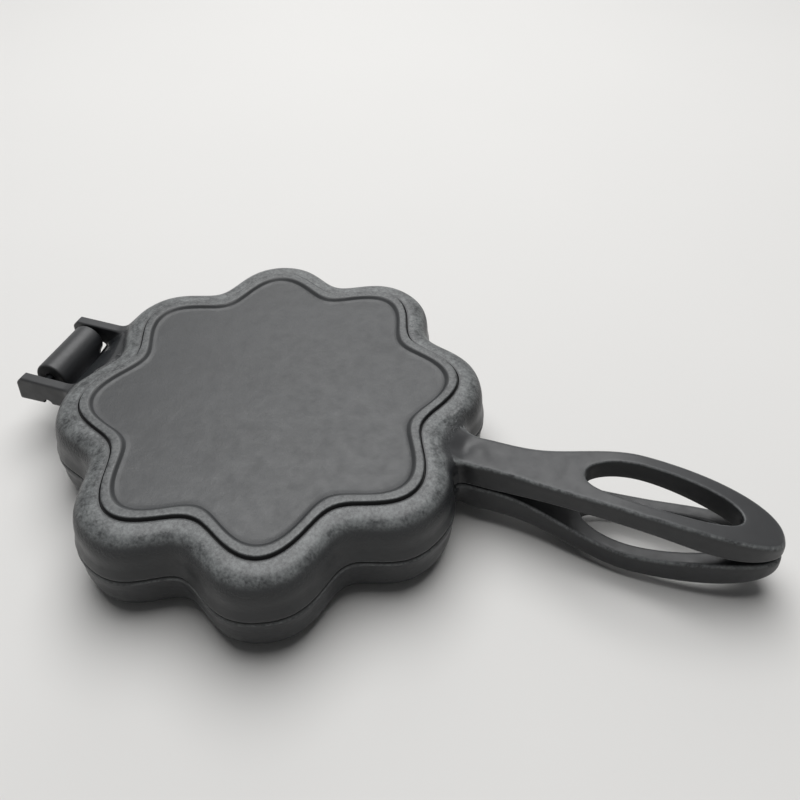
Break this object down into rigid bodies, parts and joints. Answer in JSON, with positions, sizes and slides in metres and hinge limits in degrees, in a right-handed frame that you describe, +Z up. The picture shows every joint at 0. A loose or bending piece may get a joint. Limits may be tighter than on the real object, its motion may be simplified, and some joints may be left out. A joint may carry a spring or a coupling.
{
  "type": "egg waffle pan",
  "caption": "Hinged cast iron egg waffle pan with a flower outline, bubble cups inside both halves, slotted handles and a lift-off hinge.",
  "frame": {"origin": "on the surface that the closed pan stands on, under the middle of its whole length", "axes": "+X from the hinge to the handles, +Z up through both halves, +Y to the left seen from the hinge"},
  "size_m": [0.3088, 0.1666, 0.0382],
  "materials": {
    "pan_iron": "seasoned, semi-gloss, fine sand-cast grain",
    "handle_iron": "seasoned, semi-gloss, smoother than the pan",
    "hinge_iron": "seasoned, semi-gloss, rough casting",
    "pin_steel": "dark drawn steel"
  },
  "bodies": {
    "lower": {"lower_pan": "pan_iron", "lower_handle": "handle_iron", "hinge_barrel": "hinge_iron"},
    "pin": {"hinge_pin": "pin_steel"},
    "upper": {"upper_pan": "pan_iron", "upper_handle": "handle_iron", "front_hinge_ear": "hinge_iron", "rear_hinge_ear": "hinge_iron"}
  },
  "joints": [
    {"name": "hinge", "type": "hinge", "parent": "lower", "child": "pin", "pos_m": [-0.1445, 0, 0.024], "axis": [0, -1, 0], "range_deg": [0, 182.8]},
    {"name": "lift_off", "type": "slide", "parent": "pin", "child": "upper", "axis": [0, 0, 1], "range_m": [0, 0.02]}
  ]
}
